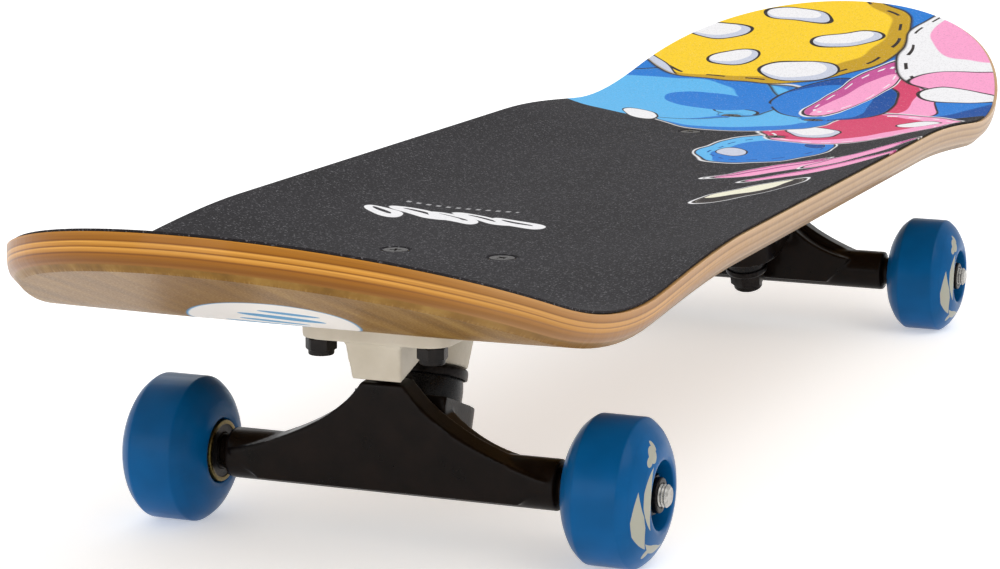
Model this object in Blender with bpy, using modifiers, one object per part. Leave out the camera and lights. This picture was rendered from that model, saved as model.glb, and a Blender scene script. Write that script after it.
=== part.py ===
"""Double-kick skateboard with two cast trucks, four urethane wheels and their hardware.

Metres, +Z up. +X points to the nose, +Y to the rider's left when facing the nose. The origin is
on the floor, under the middle of the board. Each truck is modelled once about its own axle
centre, with +X pointing inboard (towards the middle of the board) and turned round for the nose.
"""

import math

import bmesh
import bpy
from mathutils import Matrix, Vector

# ---------------------------------------------------------------- driving dimensions
GAP = 0.0003                   # clearance between pieces that touch

# Wheels, bearings and axles (8 mm axle, 608 bearings)
WHEEL_RADIUS = 0.026
WHEEL_HALF_WIDTH = 0.016
TREAD_HALF_WIDTH = 0.0077
WHEEL_CENTRE_Y = 0.0825
AXLE_BASE = 0.4380             # distance between the two axles
AXLE_RADIUS = 0.0040
AXLE_HALF_LENGTH = 0.1010
BEARING_RADIUS = 0.0110
BEARING_WIDTH = 0.0070
BEARING_BORE = 0.0044          # facets of the bore still clear the axle as the wheel turns
INNER_BEARING_Y = -0.0130      # from the wheel's centre, nearly flush with its inner face
OUTER_BEARING_Y = 0.0040       # deep in the wheel's outer side
SPACER_RADIUS = 0.0056
AXLE_NUT_START = 0.0085        # from the wheel's centre
AXLE_NUT_HEIGHT = 0.0070

# Deck: maple, flat between the kicks, with concave rails
DECK_WIDTH = 0.2032
DECK_THICKNESS = 0.0110
DECK_UNDERSIDE = 0.0560        # above the axle centres
TAIL_LENGTH = 0.3920           # along the board, from halfway between the axles
NOSE_LENGTH = 0.3970
KICK_START = 0.2300
KICK_RADIUS = 0.2300
KICK_ANGLE = math.radians(19.7)
CONCAVE_RISE = 0.0106          # rail height above the flat middle, between the trucks
CONCAVE_HOLD = 0.1370          # the full rise reaches this far from the middle
CONCAVE_END = 0.3120           # and has faded out here
FLAT_SHARE = 0.30              # share of the width that is flat
TAPER_START = 0.2110           # where the straight sides end
TIP_POWER = 3.0                # fullness of the rounded ends
TIP_SWEEP = math.radians(88)
RIM_ROUND = 0.0022
RIM_TUCK = 0.0015              # how much smaller the underside's outline is
GRIP_THICKNESS = 0.0008
GRIP_INSET = 0.0024

# Deck bolts and lock nuts (10-32 hardware on the 41.3 x 63.5 mm pattern)
BOLT_SPACING_Y = 0.0413
BOLT_ROW_OUTER = -0.0156       # from the axle, inboard positive
BOLT_ROW_INNER = 0.0479
BOLT_RADIUS = 0.0024
BOLT_HOLE = 0.00275
BOLT_HEAD_RADIUS = 0.0047
BOLT_HEAD_HEIGHT = 0.0023
LOCK_NUT_RADIUS = 0.0055
LOCK_NUT_HEIGHT = 0.0060

# Truck, about its axle centre
BASE_THICKNESS = 0.0075
BASE_OUTBOARD = -0.0225
BASE_INBOARD = 0.0550
BASE_HALF_WIDTH = 0.0275
BASE_CORNER = 0.0080
RING_CENTRE = Vector((0.0261, 0.0, 0.0136))
RING_RADIUS = 0.0175
RING_HOLE = 0.0066
RING_HALF_THICKNESS = 0.0045
KINGPIN_LEAN = math.radians(20)
KINGPIN_RADIUS = 0.00475
KINGPIN_BORE = 0.0051
PIVOT_CENTRE = Vector((-0.0070, 0.0, 0.0389))
PIVOT_LEAN = math.radians(-16)
PIVOT_BALL = 0.0046
PIVOT_NECK = 0.0039
CUP_RADIUS = 0.0070
CUP_BORE = 0.0052
CUP_TOP = 0.0071
CUP_MOUTH = -0.0020
HANGER_HALF_LENGTH = 0.0625
HANGER_TUBE = 0.0090
SHOULDER_HALF_LENGTH = 0.0653
SHOULDER_RADIUS = 0.0065

UNDERSIDE_Z = WHEEL_RADIUS + DECK_UNDERSIDE
DECK_TOP_Z = UNDERSIDE_Z + DECK_THICKNESS
BASE_TOP = DECK_UNDERSIDE - GAP
BASE_BOTTOM = BASE_TOP - BASE_THICKNESS
GRIP_TOP = DECK_UNDERSIDE + DECK_THICKNESS + GAP + GRIP_THICKNESS

COLOURS = {
    "maple": ((0.62, 0.40, 0.18), 0.40, 0.0),
    "grip": ((0.065, 0.063, 0.068), 0.95, 0.0),
    "white_coat": ((0.80, 0.77, 0.73), 0.45, 0.0),
    "black_coat": ((0.015, 0.014, 0.014), 0.22, 0.0),
    "urethane": ((0.005, 0.125, 0.38), 0.25, 0.0),
    "steel": ((0.55, 0.54, 0.52), 0.35, 1.0),
    "bearing_steel": ((0.50, 0.42, 0.22), 0.35, 1.0),
    "dark_steel": ((0.06, 0.06, 0.06), 0.40, 1.0),
    "bushing": ((0.018, 0.018, 0.020), 0.50, 0.0),
    "cup_rubber": ((0.03, 0.03, 0.03), 0.60, 0.0),
}


# ---------------------------------------------------------------- scene and materials
def clear_scene():
    for obj in list(bpy.data.objects):
        bpy.data.objects.remove(obj, do_unlink=True)


def new_collection(name):
    collection = bpy.data.collections.new(name)
    bpy.context.scene.collection.children.link(collection)
    return collection


def make_material(name):
    colour, roughness, metallic = COLOURS[name]
    material = bpy.data.materials.new(name)
    material.use_nodes = True
    shader = material.node_tree.nodes["Principled BSDF"]
    shader.inputs["Base Color"].default_value = (*colour, 1.0)
    shader.inputs["Roughness"].default_value = roughness
    shader.inputs["Metallic"].default_value = metallic
    material.diffuse_color = (*colour, 1.0)
    return material


def place(name, mesh, material, parent=None, location=(0, 0, 0), rotation=(0, 0, 0)):
    """A new sub-part that uses the mesh."""
    obj = bpy.data.objects.new(name, mesh)
    PARTS.objects.link(obj)
    obj.parent = parent
    obj.location = location
    obj.rotation_euler = rotation
    if not mesh.materials:
        mesh.materials.append(MATERIALS[material])
    return obj


def make_empty(name, parent=None, location=(0, 0, 0), rotation=(0, 0, 0)):
    empty = bpy.data.objects.new(name, None)
    PARTS.objects.link(empty)
    empty.parent = parent
    empty.location = location
    empty.rotation_euler = rotation
    empty.empty_display_size = 0.02
    return empty


def helper(name, mesh):
    """A hidden object that shapes others and isn't a part of the board."""
    obj = bpy.data.objects.new(name, mesh)
    CUTTERS.objects.link(obj)
    obj.hide_render = True
    obj.display_type = "WIRE"
    return obj


# ---------------------------------------------------------------- mesh helpers
def mesh_from(bm, name):
    bmesh.ops.recalc_face_normals(bm, faces=bm.faces)
    mesh = bpy.data.meshes.new(name)
    bm.to_mesh(mesh)
    bm.free()
    return mesh


def cylinder(name, radius, low, high, segments, matrix=None, top_radius=None):
    """A cylinder or a cone along Z between two heights, then moved by the matrix."""
    bm = bmesh.new()
    top = radius if top_radius is None else top_radius
    bmesh.ops.create_cone(bm, cap_ends=True, segments=segments, radius1=radius, radius2=top,
                          depth=high - low)
    bmesh.ops.translate(bm, verts=bm.verts, vec=(0, 0, (low + high) / 2))
    if matrix is not None:
        bmesh.ops.transform(bm, matrix=matrix, verts=bm.verts)
    return mesh_from(bm, name)


def block(name, low, high):
    """A box between two corners."""
    bm = bmesh.new()
    bmesh.ops.create_cube(bm, size=1.0)
    low = Vector(low)
    size = Vector(high) - low
    for vert in bm.verts:
        vert.co = low + Vector((size[i] * (vert.co[i] + 0.5) for i in range(3)))
    return mesh_from(bm, name)


def evaluated_mesh(obj, name):
    """The object's mesh after its modifiers, welded and still in the object's own space."""
    graph = bpy.context.evaluated_depsgraph_get()
    mesh = bpy.data.meshes.new_from_object(obj.evaluated_get(graph))
    mesh.name = name
    bm = bmesh.new()
    bm.from_mesh(mesh)
    bmesh.ops.remove_doubles(bm, verts=bm.verts, dist=0.000001)
    bm.to_mesh(mesh)
    bm.free()
    return mesh


def smooth(mesh, angle=35):
    mesh.shade_smooth()
    mesh.set_sharp_from_angle(angle=math.radians(angle))
    return mesh


def turned(name, profile, segments, closed=False, matrix=None, across_flats=False):
    """A profile of (radius, height) points turned about Z; it runs down the outer side.

    With across_flats the radii reach the middles of the facets, and one facet faces -X.
    """
    if across_flats:
        grow = 1 / math.cos(math.pi / segments)
        profile = [(r * grow, h) for r, h in profile]
    mesh = bpy.data.meshes.new(name)
    edges = [(i, i + 1) for i in range(len(profile) - 1)]
    if closed:
        edges.append((len(profile) - 1, 0))
    mesh.from_pydata([(r, 0, h) for r, h in profile], edges, [])
    obj = helper(name + "_profile", mesh)
    screw = obj.modifiers.new("turn", "SCREW")
    screw.steps = segments
    screw.render_steps = segments
    screw.use_merge_vertices = True
    screw.merge_threshold = 0.00001
    result = evaluated_mesh(obj, name)
    bpy.data.objects.remove(obj)
    if across_flats:
        result.transform(Matrix.Rotation(math.pi / segments, 4, "Z"))
    if matrix is not None:
        result.transform(matrix)
    return smooth(result)


def outline_prism(name, points, half_thickness):
    """A flat outline of (x, y) points, extruded both ways along Z."""
    curve = bpy.data.curves.new(name, "CURVE")
    curve.dimensions = "2D"
    curve.fill_mode = "BOTH"
    curve.extrude = half_thickness
    spline = curve.splines.new("POLY")
    spline.points.add(len(points) - 1)
    spline.use_cyclic_u = True
    for point, (x, y) in zip(spline.points, points):
        point.co = (x, y, 0, 1)
    obj = bpy.data.objects.new(name, curve)
    CUTTERS.objects.link(obj)
    mesh = evaluated_mesh(obj, name)
    bpy.data.objects.remove(obj)
    bm = bmesh.new()
    bm.from_mesh(mesh)
    return mesh_from(bm, name)


def arc(x, y, radius, start, end, steps):
    """Points of an arc about (x, y), its angles in degrees."""
    angles = [math.radians(start + (end - start) * step / steps) for step in range(steps + 1)]
    return [(x + radius * math.cos(a), y + radius * math.sin(a)) for a in angles]


def bow(start, control, end, steps):
    """Points of a curve between two ends that bends towards a control point."""
    points = []
    for step in range(steps + 1):
        t = step / steps
        points.append(tuple((1 - t) ** 2 * a + 2 * t * (1 - t) * b + t * t * c
                            for a, b, c in zip(start, control, end)))
    return points


def combine(name, base, joined=(), cut=()):
    """The base mesh with others joined to it and then others cut from it."""
    obj = helper(name, base)
    made = []
    for operation, meshes in (("UNION", joined), ("DIFFERENCE", cut)):
        for mesh in meshes:
            other = helper(mesh.name, mesh)
            made.append(other)
            boolean = obj.modifiers.new(operation.lower(), "BOOLEAN")
            boolean.operation = operation
            boolean.solver = "EXACT"
            boolean.object = other
    result = evaluated_mesh(obj, name)
    for other in made:
        bpy.data.objects.remove(other)
    bpy.data.objects.remove(obj)
    return result


def along_y():
    """Turns a shape made along +Z to lie along +Y."""
    return Matrix.Rotation(math.radians(-90), 4, "X")


def leaning(centre, lean):
    """The frame at a centre whose +Z leans inboard by an angle."""
    return Matrix.Translation(centre) @ Matrix.Rotation(lean, 4, "Y")


# ---------------------------------------------------------------- deck surface
def end_length(s):
    return TAIL_LENGTH if s < 0 else NOSE_LENGTH


def kick(s):
    """(distance from the middle, height, slope) of the board's middle line at s."""
    past = max(0.0, abs(s) - KICK_START)
    angle = min(KICK_ANGLE, past / KICK_RADIUS)
    straight = max(0.0, past - KICK_RADIUS * KICK_ANGLE)
    x = min(abs(s), KICK_START) + KICK_RADIUS * math.sin(angle) + straight * math.cos(angle)
    z = KICK_RADIUS * (1 - math.cos(angle)) + straight * math.sin(angle)
    side = -1 if s < 0 else 1
    return side * x, z, side * angle


def rail_rise(s, y):
    """Height of the concave above the middle line."""
    fade = (abs(s) - CONCAVE_HOLD) / (CONCAVE_END - CONCAVE_HOLD)
    fade = min(1.0, max(0.0, fade))
    height = CONCAVE_RISE * (1 - fade * fade * (3 - 2 * fade))
    across = max(0.0, (abs(y) / (DECK_WIDTH / 2) - FLAT_SHARE) / (1 - FLAT_SHARE))
    return height * across * across


MIDDLE_X = (kick(-TAIL_LENGTH)[0] + kick(NOSE_LENGTH)[0]) / -2   # puts the origin mid-board


def pressed(s, y, lift):
    """Where pressing takes a point of the flat deck blank; lift is its height above the top."""
    tuck = RIM_TUCK * max(0.0, -lift) / DECK_THICKNESS
    s *= 1 - tuck / NOSE_LENGTH
    y *= 1 - tuck / (DECK_WIDTH / 2)
    x, z, slope = kick(s)
    rise = rail_rise(s, y) + lift
    return Vector((MIDDLE_X + x - math.sin(slope) * rise, y, DECK_TOP_Z + z + math.cos(slope) * rise))


def blank(name, inset):
    """The flat outline, its stations closing up towards the tips: X along the board, Y across."""
    stations, straight, columns = 44, 14, 8
    straight_share = straight / stations
    flat_columns = 0.25
    bm = bmesh.new()
    bmesh.ops.create_grid(bm, x_segments=stations, y_segments=columns, size=1.0)
    for vert in bm.verts:
        a, b = vert.co.x, vert.co.y
        if abs(a) <= straight_share + 1e-6:
            s = a / straight_share * TAPER_START
            half = DECK_WIDTH / 2 - inset
        else:
            sweep = TIP_SWEEP * (abs(a) - straight_share) / (1 - straight_share)
            reach = end_length(a) - inset - TAPER_START
            s = math.copysign(TAPER_START + reach * math.sin(sweep) ** (2 / TIP_POWER), a)
            half = (DECK_WIDTH / 2 - inset) * math.cos(sweep)
        past = max(0.0, abs(b) - flat_columns) / (1 - flat_columns)
        v = math.copysign(min(abs(b), flat_columns) / flat_columns * FLAT_SHARE
                          + (1 - FLAT_SHARE) * past, b)
        vert.co = (s, v * half, 0)
    mesh = bpy.data.meshes.new(name)
    bm.to_mesh(mesh)
    bm.free()
    return mesh


def bolt_places():
    """(name, x, y) of each deck bolt in the board's frame."""
    for end, facing in (("rear", 1), ("front", -1)):
        axle_x = MIDDLE_X - facing * AXLE_BASE / 2
        for row, offset in (("outer", BOLT_ROW_OUTER), ("inner", BOLT_ROW_INNER)):
            for side, sign in (("left", 1), ("right", -1)):
                yield f"{end}_{row}_{side}", axle_x + facing * offset, sign * BOLT_SPACING_Y / 2


def bolt_hole_cutters(name, profile_top, low, sink):
    """One countersunk cutter for each deck bolt; sink is the head's (radius, depth) or None."""
    cutters = []
    for place_name, x, y in bolt_places():
        top = profile_top
        mouth = sink + (top - DECK_TOP_Z)
        profile = [(0, top), (mouth, top), (BOLT_HOLE, top - mouth + BOLT_HOLE), (BOLT_HOLE, low),
                   (0, low)]
        mesh = turned(f"{name}_{place_name}", profile, 12, matrix=Matrix.Translation((x, y, 0)))
        cutters.append(mesh)
    return cutters


def board_layer(name, inset, lift, thickness, rim, cutters):
    """A layer of the board: a thickened blank with a rounded rim, pressed and drilled."""
    obj = helper(name, blank(name + "_blank", inset))
    solidify = obj.modifiers.new("thickness", "SOLIDIFY")
    solidify.thickness = thickness
    solidify.offset = 1
    if rim:
        rounding = obj.modifiers.new("rim", "BEVEL")
        rounding.width = rim
        rounding.segments = 2
        rounding.limit_method = "ANGLE"
        rounding.angle_limit = math.radians(50)
    layer = evaluated_mesh(obj, name)
    bpy.data.objects.remove(obj)
    for vert in layer.vertices:
        vert.co = pressed(vert.co.x, vert.co.y, vert.co.z + lift)
    return smooth(combine(name, layer, cut=cutters), 30)


def build_deck():
    sink = BOLT_HEAD_RADIUS + GAP
    below = UNDERSIDE_Z - 0.002
    above = DECK_TOP_Z + 0.004
    cutters = bolt_hole_cutters("deck_hole", above, below, sink - 0.0008)
    deck = board_layer("deck", 0, -DECK_THICKNESS, DECK_THICKNESS, RIM_ROUND, cutters)
    place("deck", deck, "maple")
    cutters = bolt_hole_cutters("grip_hole", above, below, sink)
    grip = board_layer("grip_tape", GRIP_INSET, GAP, GRIP_THICKNESS, 0, cutters)
    place("grip_tape", grip, "grip")


# ---------------------------------------------------------------- fasteners
def lock_nut_mesh(name, corner_radius, height, bore):
    """A hexagon nut along +Z with a round locking collar, its seat at height 0."""
    hexagon = cylinder(name + "_hexagon", corner_radius, 0, height * 0.68, 6)
    collar = cylinder(name + "_collar", corner_radius * 0.84, height * 0.3, height, 12,
                      top_radius=corner_radius * 0.78)
    hole = cylinder(name + "_bore", bore, -height, 2 * height, 16)
    return smooth(combine(name, hexagon, joined=[collar], cut=[hole]), 30)


def build_deck_bolts():
    """Countersunk bolts from the grip tape down through the baseplates, with their lock nuts."""
    head_top = GRIP_TOP - 0.0002
    nut_top = BASE_BOTTOM - GAP
    bolt_end = nut_top - LOCK_NUT_HEIGHT - 0.0014
    bolt = turned("deck_bolt", [
        (0, head_top),
        (BOLT_HEAD_RADIUS, head_top),
        (BOLT_RADIUS, head_top - BOLT_HEAD_HEIGHT),
        (BOLT_RADIUS, bolt_end),
        (0, bolt_end),
    ], 12)
    nut = lock_nut_mesh("lock_nut", LOCK_NUT_RADIUS, LOCK_NUT_HEIGHT, BOLT_HOLE)
    for place_name, x, y in bolt_places():
        place(f"{place_name}_deck_bolt", bolt, "dark_steel", location=(x, y, WHEEL_RADIUS))
        place(f"{place_name}_lock_nut", nut, "bushing", location=(x, y, WHEEL_RADIUS + nut_top),
              rotation=(math.pi, 0, 0))


# ---------------------------------------------------------------- truck meshes
def rounded_rectangle(left, right, half_height, corner):
    """Points of a rectangle with round corners."""
    y = half_height - corner
    return [
        *arc(right - corner, y, corner, 0, 90, 4),
        *arc(left + corner, y, corner, 90, 180, 4),
        *arc(left + corner, -y, corner, 180, 270, 4),
        *arc(right - corner, -y, corner, 270, 360, 4),
    ]


def pivot_boss():
    """The tapered block at the plate's outboard end that holds the pivot cup."""
    mesh = block("pivot_boss", (-0.0205, -0.0107, 0.0342), (0.0060, 0.0107, BASE_TOP - 0.002))
    for vert in mesh.vertices:
        if vert.co.z > BASE_BOTTOM:
            continue
        outboard = vert.co.x < 0
        vert.co.x = -0.0155 if outboard else 0.0020
        vert.co.y *= 0.84
        slope = math.tan(-PIVOT_LEAN)
        vert.co.z = 0.0342 + (vert.co.x + 0.0155) * slope
    obj = helper("pivot_boss", mesh)
    rounding = obj.modifiers.new("edges", "BEVEL")
    rounding.width = 0.0014
    rounding.segments = 2
    rounding.limit_method = "NONE"
    result = evaluated_mesh(obj, "pivot_boss")
    bpy.data.objects.remove(obj)
    return result


def baseplate_mesh():
    """Flange, pivot boss, kingpin boss and spine as one casting, with its holes."""
    outline = rounded_rectangle(BASE_OUTBOARD, BASE_INBOARD, BASE_HALF_WIDTH, BASE_CORNER)
    flange = outline_prism("flange", outline, BASE_THICKNESS / 2)
    flange.transform(Matrix.Translation((0, 0, BASE_TOP - BASE_THICKNESS / 2)))
    kingpin_frame = leaning(RING_CENTRE, KINGPIN_LEAN)
    boss_bottom, boss_top = 0.0179, 0.0480
    boss = cylinder("boss", 0.0130, boss_bottom, boss_top, 20, kingpin_frame, top_radius=0.0148)
    above_flange = block("above_flange", (-0.03, -0.04, BASE_TOP - 0.0025), (0.09, 0.04, 0.09))
    kingpin_boss = combine("kingpin_boss", boss, cut=[above_flange])
    spine = block("spine", (-0.004, -0.0070, 0.0430), (0.030, 0.0070, BASE_TOP - 0.003))
    cup_frame = leaning(PIVOT_CENTRE, PIVOT_LEAN)
    pocket = cylinder("cup_pocket", CUP_RADIUS + GAP, -0.012, CUP_TOP + GAP, 16, cup_frame)
    bore = cylinder("kingpin_bore", KINGPIN_BORE, boss_bottom - 0.004, 0.060, 16, kingpin_frame)
    head_seat = KINGPIN_HEAD_BOTTOM - GAP
    head_pocket = cylinder("head_pocket", 0.0080, head_seat, 0.060, 16, kingpin_frame)
    holes = []
    for row in (BOLT_ROW_OUTER, BOLT_ROW_INNER):
        for sign in (-1, 1):
            where = Matrix.Translation((row, sign * BOLT_SPACING_Y / 2, 0))
            holes.append(cylinder("bolt_hole", BOLT_HOLE, BASE_BOTTOM - 0.01, BASE_TOP + 0.01, 12,
                                  where))
    return smooth(combine("baseplate", flange, joined=[pivot_boss(), kingpin_boss, spine],
                          cut=[pocket, bore, head_pocket, *holes]), 30)


def pivot_cup_mesh():
    """A rubber cup about the pivot's centre, its mouth facing down."""
    inside = arc(0, 0, CUP_BORE, 0, 90, 4)
    profile = [
        (0, CUP_TOP),
        (CUP_RADIUS - 0.0008, CUP_TOP),
        (CUP_RADIUS, CUP_TOP - 0.0010),
        (CUP_RADIUS, CUP_MOUTH),
        (CUP_BORE + 0.0005, CUP_MOUTH),
        *inside[:-1],
        (0, CUP_BORE),
    ]
    return turned("pivot_cup", profile, 16, matrix=leaning(PIVOT_CENTRE, PIVOT_LEAN))


def pivot_stem():
    """The hanger's ball-ended pivot, from inside the web up into the cup."""
    waist = -math.sqrt(PIVOT_BALL ** 2 - PIVOT_NECK ** 2)
    end = math.degrees(math.asin(waist / PIVOT_BALL))
    ball = arc(0, 0, PIVOT_BALL, 90, end, 6)[1:]
    profile = [(0, PIVOT_BALL), *ball, (PIVOT_NECK, -0.0110), (0, -0.0110)]
    return turned("pivot_stem", profile, 16, matrix=leaning(PIVOT_CENTRE, PIVOT_LEAN))


def web(name, foot, crown, control, x_low, x_high, lean):
    """A web with hollow sides, standing across the board on the axle tube.

    foot and crown are the (half width, height) where its sides start and end.
    """
    bottom = -0.0060
    side = bow(foot, control, crown, 7)
    points = [(foot[0], bottom), *side, *[(-y, z) for y, z in reversed(side)], (-foot[0], bottom)]
    mesh = outline_prism(name, points, (x_high - x_low) / 2)
    upright = Matrix(((0, 0, 1, 0), (1, 0, 0, 0), (0, 1, 0, 0), (0, 0, 0, 1)))
    middle = Matrix.Translation(((x_low + x_high) / 2, 0, 0))
    mesh.transform(Matrix.Rotation(lean, 4, "Y") @ middle @ upright)
    return mesh


def hanger_mesh():
    """Axle tube, webs, kingpin ring and pivot stem as one casting."""
    tube = cylinder("hanger_tube", HANGER_TUBE, -HANGER_HALF_LENGTH, HANGER_HALF_LENGTH, 24,
                    along_y())
    shoulders = cylinder("hanger_shoulders", SHOULDER_RADIUS, -SHOULDER_HALF_LENGTH,
                         SHOULDER_HALF_LENGTH, 16, along_y())
    front_web = web("front_web", (0.0600, 0.0036), (0.0079, 0.0328), (0.0199, 0.0147),
                    -0.0090, 0.0030, math.radians(-4.5))
    rear_web = web("rear_web", (0.0470, 0.0062), (0.0170, 0.0205), (0.0300, 0.0085),
                   -0.0020, 0.0100, 0.0)
    reach = -0.0245
    outline = [*arc(0, 0, RING_RADIUS, -90, 90, 12), (reach, RING_RADIUS), (reach, -RING_RADIUS)]
    yoke = outline_prism("yoke", outline, RING_HALF_THICKNESS)
    kingpin_frame = leaning(RING_CENTRE, KINGPIN_LEAN)
    yoke.transform(kingpin_frame)
    ring_hole = cylinder("ring_hole", RING_HOLE, -0.02, 0.02, 16, kingpin_frame)
    axle_bore = cylinder("axle_bore", AXLE_RADIUS + GAP, -0.08, 0.08, 16, along_y())
    return smooth(combine("hanger", tube, joined=[shoulders, front_web, rear_web, yoke, pivot_stem()],
                          cut=[ring_hole, axle_bore]), 30)


# Heights along the kingpin, from the middle of the hanger's ring
RING_TOP = RING_HALF_THICKNESS + GAP
UPPER_WASHER_TOP = 0.0176
UPPER_CUP_FLOOR = 0.0162
UPPER_CUP_LIP = 0.0135
UPPER_BUSHING_TOP = UPPER_CUP_FLOOR - GAP
LOWER_CUP_LIP = -0.0119
LOWER_CUP_FLOOR = -0.0137
LOWER_WASHER_BOTTOM = -0.0150
LOWER_BUSHING_BOTTOM = LOWER_CUP_FLOOR + GAP
KINGPIN_NUT_TOP = LOWER_WASHER_BOTTOM - GAP
KINGPIN_NUT_HEIGHT = 0.0085
KINGPIN_END = KINGPIN_NUT_TOP - KINGPIN_NUT_HEIGHT - 0.0012
KINGPIN_HEAD_BOTTOM = 0.0365
KINGPIN_HEAD_TOP = 0.0412


def kingpin_mesh():
    return turned("kingpin", [
        (0, KINGPIN_HEAD_TOP),
        (0.0070, KINGPIN_HEAD_TOP),
        (0.0075, KINGPIN_HEAD_TOP - 0.0010),
        (0.0075, KINGPIN_HEAD_BOTTOM),
        (KINGPIN_RADIUS, KINGPIN_HEAD_BOTTOM),
        (KINGPIN_RADIUS, KINGPIN_END + 0.0008),
        (KINGPIN_RADIUS - 0.0008, KINGPIN_END),
        (0, KINGPIN_END),
    ], 16)


def ring_profile(outer, bore):
    """Closes an outer side, listed from the top down, with a straight bore."""
    return [*outer, (bore, outer[-1][1]), (bore, outer[0][1])]


def bushing_meshes():
    """The taller boardside bushing and the shorter roadside one, both slightly barrelled."""
    upper = ring_profile([(0.0117, UPPER_BUSHING_TOP), (0.0121, UPPER_BUSHING_TOP - 0.0010),
                          (0.0127, 0.0090), (0.0125, RING_TOP)], KINGPIN_BORE)
    lower = ring_profile([(0.0096, -RING_TOP), (0.0096, -0.0090),
                          (0.0090, LOWER_BUSHING_BOTTOM)], KINGPIN_BORE)
    return (turned("bushing_boardside", upper, 16, closed=True),
            turned("bushing_roadside", lower, 16, closed=True))


def washer_meshes():
    """Cup washers: the lip of each points at its bushing."""
    upper = [(0.0128, UPPER_WASHER_TOP), (0.0136, UPPER_WASHER_TOP - 0.0008),
             (0.0136, UPPER_CUP_LIP), (0.0129, UPPER_CUP_LIP), (0.0129, UPPER_CUP_FLOOR),
             (KINGPIN_BORE, UPPER_CUP_FLOOR), (KINGPIN_BORE, UPPER_WASHER_TOP)]
    lower = [(0.0100, LOWER_CUP_LIP), (0.0100, LOWER_WASHER_BOTTOM),
             (KINGPIN_BORE, LOWER_WASHER_BOTTOM), (KINGPIN_BORE, LOWER_CUP_FLOOR),
             (0.0094, LOWER_CUP_FLOOR), (0.0094, LOWER_CUP_LIP)]
    return (turned("washer_boardside", upper, 16, closed=True),
            turned("washer_roadside", lower, 16, closed=True))


def axle_mesh():
    end = AXLE_HALF_LENGTH
    return turned("axle", [
        (0, end),
        (AXLE_RADIUS - 0.0008, end),
        (AXLE_RADIUS, end - 0.0008),
        (AXLE_RADIUS, 0.0008 - end),
        (AXLE_RADIUS - 0.0008, -end),
        (0, -end),
    ], 16, matrix=along_y())


# ---------------------------------------------------------------- wheel meshes
def wheel_mesh():
    """A wheel along +Y about its own centre, its outer side at +Y; it stands on a facet."""
    face, tread = WHEEL_HALF_WIDTH, TREAD_HALF_WIDTH
    seat = BEARING_RADIUS + GAP
    outer_floor = OUTER_BEARING_Y - BEARING_WIDTH / 2 - GAP
    inner_floor = INNER_BEARING_Y + BEARING_WIDTH / 2 + GAP
    profile = [
        (0.0122, face),
        (0.0150, face - 0.0003),
        (0.0205, face - 0.0028),
        (0.0245, face - 0.0060),
        (WHEEL_RADIUS, tread),
        (WHEEL_RADIUS, -tread),
        (0.0245, 0.0060 - face),
        (0.0205, 0.0028 - face),
        (0.0150, 0.0003 - face),
        (0.0118, -face),
        (seat, 0.0006 - face),
        (seat, inner_floor),
        (0.0080, inner_floor),
        (0.0080, outer_floor),
        (seat, outer_floor),
        (seat, 0.0085),
    ]
    return turned("wheel", profile, 28, closed=True, matrix=along_y(), across_flats=True)


def bearing_mesh():
    half = BEARING_WIDTH / 2
    return turned("bearing", ring_profile([(BEARING_RADIUS, half), (BEARING_RADIUS, -half)],
                                          BEARING_BORE), 16, closed=True, matrix=along_y())


def spacer_mesh():
    low = INNER_BEARING_Y + BEARING_WIDTH / 2 + GAP
    high = OUTER_BEARING_Y - BEARING_WIDTH / 2 - GAP
    return turned("bearing_spacer", ring_profile([(SPACER_RADIUS, high), (SPACER_RADIUS, low)],
                                                 BEARING_BORE), 12, closed=True, matrix=along_y())


# ---------------------------------------------------------------- assembly
def build_truck(end, facing, meshes):
    """One truck with its wheels; facing is 1 for the rear truck and -1 for the front one."""
    turn = 0 if facing > 0 else math.pi
    axle_x = MIDDLE_X - facing * AXLE_BASE / 2
    truck = make_empty(f"{end}_truck", location=(axle_x, 0, WHEEL_RADIUS), rotation=(0, 0, turn))
    kingpin_axis = make_empty(f"{end}_kingpin_axis", truck, RING_CENTRE, (0, KINGPIN_LEAN, 0))
    steer = make_empty(f"{end}_steering_axis", truck, RING_CENTRE)
    place(f"{end}_baseplate", meshes["baseplate"], "white_coat", truck)
    place(f"{end}_pivot_cup", meshes["pivot_cup"], "cup_rubber", truck)
    for piece, material in (("kingpin", "steel"), ("bushing_boardside", "bushing"),
                            ("bushing_roadside", "bushing"), ("washer_boardside", "dark_steel"),
                            ("washer_roadside", "dark_steel")):
        place(f"{end}_{piece}", meshes[piece], material, kingpin_axis)
    place(f"{end}_kingpin_nut", meshes["kingpin_nut"], "dark_steel", kingpin_axis,
          (0, 0, KINGPIN_NUT_TOP), (math.pi, 0, 0))
    place(f"{end}_hanger", meshes["hanger"], "black_coat", steer, -RING_CENTRE)
    place(f"{end}_axle", meshes["axle"], "steel", steer, -RING_CENTRE)
    for sign in (1, -1):
        side = "left" if sign * facing > 0 else "right"
        build_wheel(f"{end}_{side}", sign, steer, meshes)


def build_wheel(name, sign, steer, meshes):
    """A wheel on the axle's end at local +Y or -Y, with its bearings, spacer and nut."""
    turn = 0 if sign > 0 else math.pi
    where = Vector((0, sign * WHEEL_CENTRE_Y, 0)) - RING_CENTRE
    hub = make_empty(f"{name}_hub", steer, where, (0, 0, turn))
    place(f"{name}_wheel", meshes["wheel"], "urethane", hub)
    place(f"{name}_inner_bearing", meshes["bearing"], "bearing_steel", hub, (0, INNER_BEARING_Y, 0))
    place(f"{name}_outer_bearing", meshes["bearing"], "bearing_steel", hub, (0, OUTER_BEARING_Y, 0))
    place(f"{name}_bearing_spacer", meshes["bearing_spacer"], "steel", hub)
    place(f"{name}_axle_nut", meshes["axle_nut"], "dark_steel", hub, (0, AXLE_NUT_START, 0),
          (math.radians(-90), 0, 0))


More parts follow.
